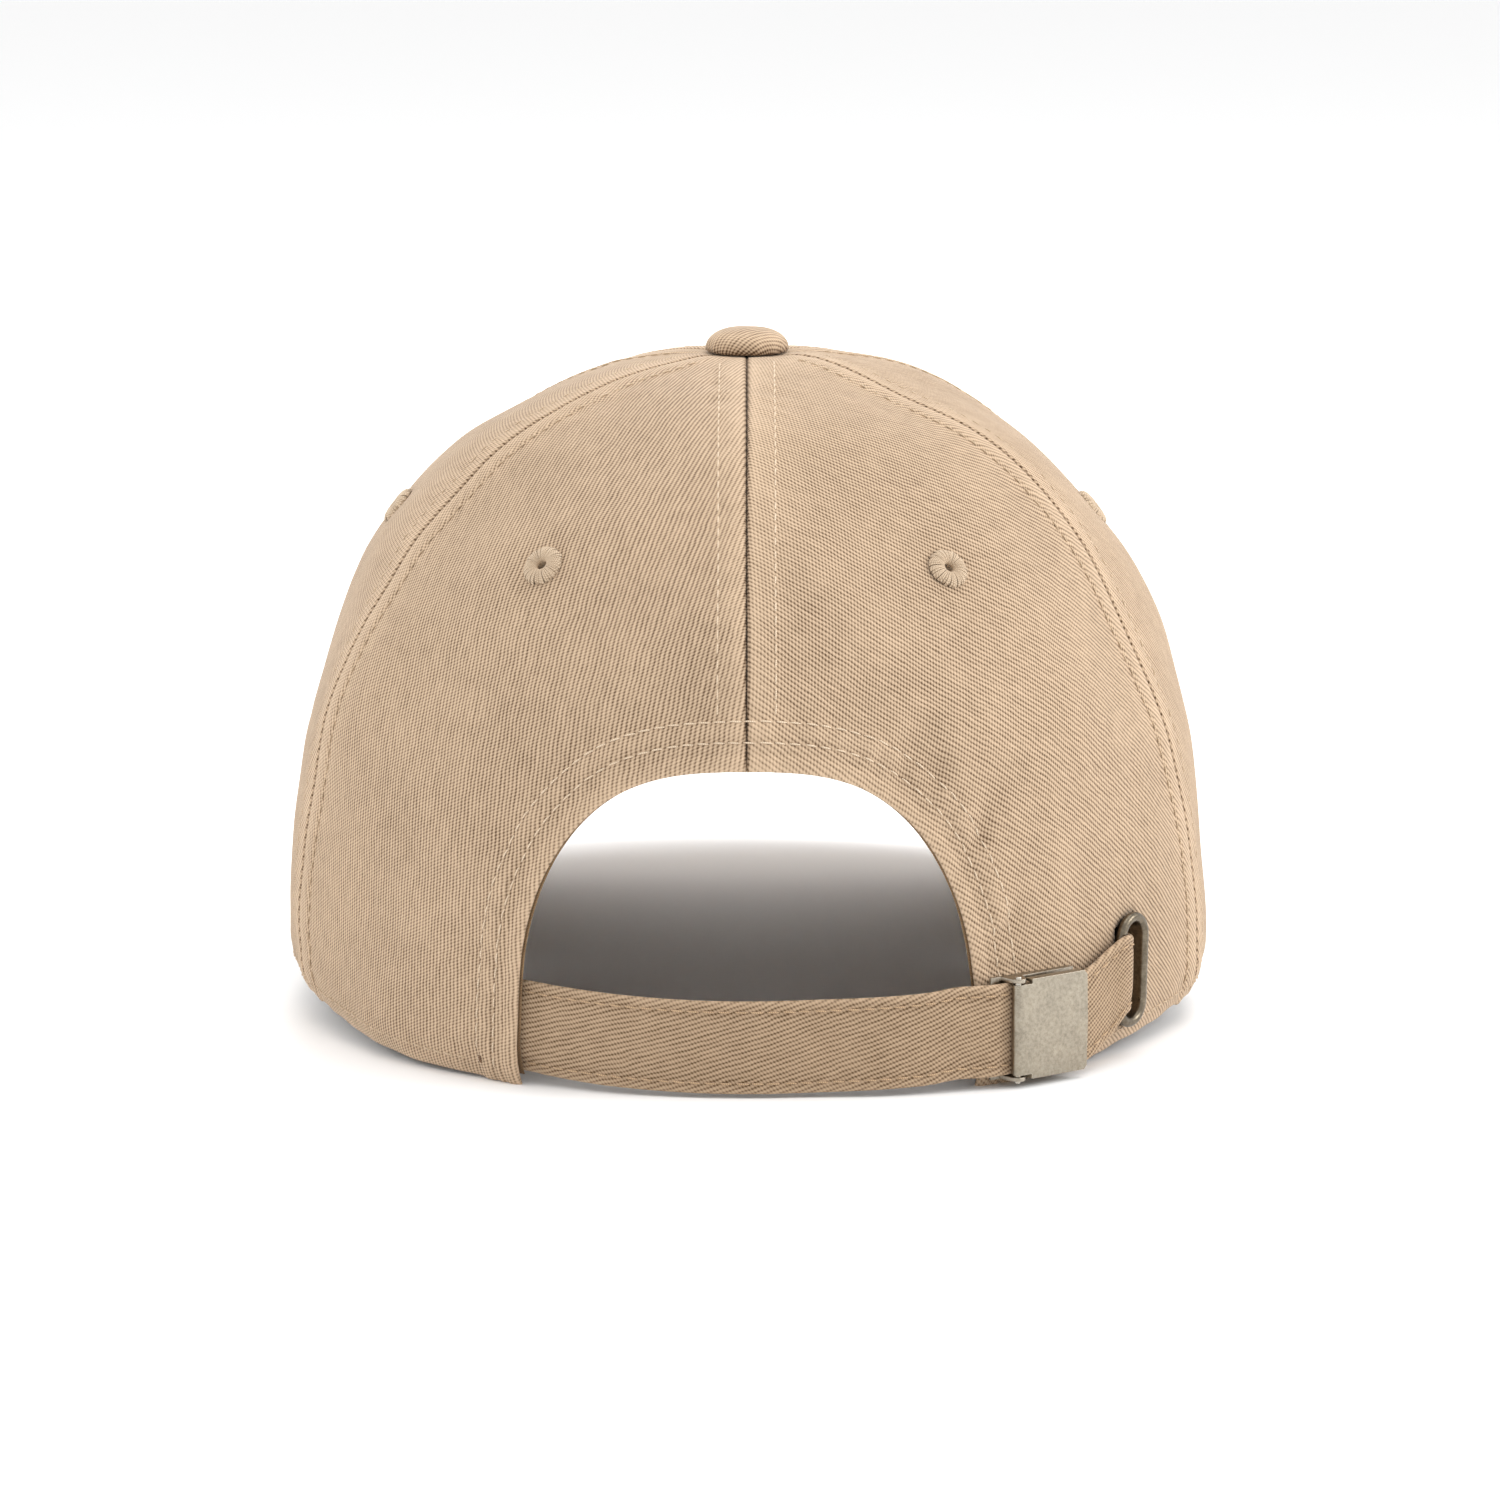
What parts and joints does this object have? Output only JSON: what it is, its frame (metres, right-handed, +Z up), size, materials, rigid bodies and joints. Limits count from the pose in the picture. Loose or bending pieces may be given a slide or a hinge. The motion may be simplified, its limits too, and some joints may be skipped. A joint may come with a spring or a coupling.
{
  "type": "baseball cap",
  "caption": "Six-panel cloth baseball cap with a curved visor, covered top button, sewn eyelets, rear arch opening and a strap with hinged metal buckle.",
  "frame": {"origin": "centre of the bounding box in plan, on the table the cap rests on", "axes": "+Y the way the visor points, +X the wearer's right, +Z up through the top button"},
  "size_m": [0.1758, 0.2595, 0.1302],
  "materials": {
    "crown_cloth": "brushed cotton twill, sun-faded",
    "buckram": "stiff open-weave buckram",
    "seam_tape": "plain-weave cotton tape",
    "sweatband_cloth": "soft twill",
    "visor_board": "matt sheet",
    "button_metal": "dull stamped metal",
    "eyelet_thread": "satin-stitched thread",
    "strap_cloth": "twill, folded and edge-stitched",
    "dark_brass": "darkened antique plating",
    "buckle_steel": "worn bright",
    "buckle_brass": "satin antique plating, bright at the edges"
  },
  "bodies": {
    "cap": {"front_panel_left": "crown_cloth", "front_panel_right": "crown_cloth", "side_panel_left": "crown_cloth", "side_panel_right": "crown_cloth", "back_panel_left": "crown_cloth", "back_panel_right": "crown_cloth", "buckram_left": "buckram", "buckram_right": "buckram", "tape_front": "seam_tape", "tape_front_left": "seam_tape", "tape_front_right": "seam_tape", "tape_rear_left": "seam_tape", "tape_rear_right": "seam_tape", "tape_rear": "seam_tape", "opening_binding": "seam_tape", "sweatband": "sweatband_cloth", "visor_board": "visor_board", "visor_top_cover": "crown_cloth", "visor_under_cover": "crown_cloth", "button_cover": "crown_cloth", "button_core": "button_metal", "button_pin": "button_metal", "button_back": "button_metal", "eyelet_front_left": "eyelet_thread", "eyelet_front_right": "eyelet_thread", "eyelet_side_left": "eyelet_thread", "eyelet_side_right": "eyelet_thread", "eyelet_back_left": "eyelet_thread", "eyelet_back_right": "eyelet_thread", "strap": "strap_cloth", "slot_ring": "dark_brass", "slot_washer": "dark_brass", "buckle_tab": "strap_cloth", "buckle_frame": "dark_brass", "buckle_pin": "buckle_steel"},
    "buckle_cover": {"buckle_cover": "buckle_brass"}
  },
  "joints": [
    {"name": "buckle_cover_hinge", "type": "hinge", "parent": "cap", "child": "buckle_cover", "pos_m": [0.04942, -0.1208, 0.0109], "axis": [0, 0, -1], "range_deg": [0, 100]}
  ]
}
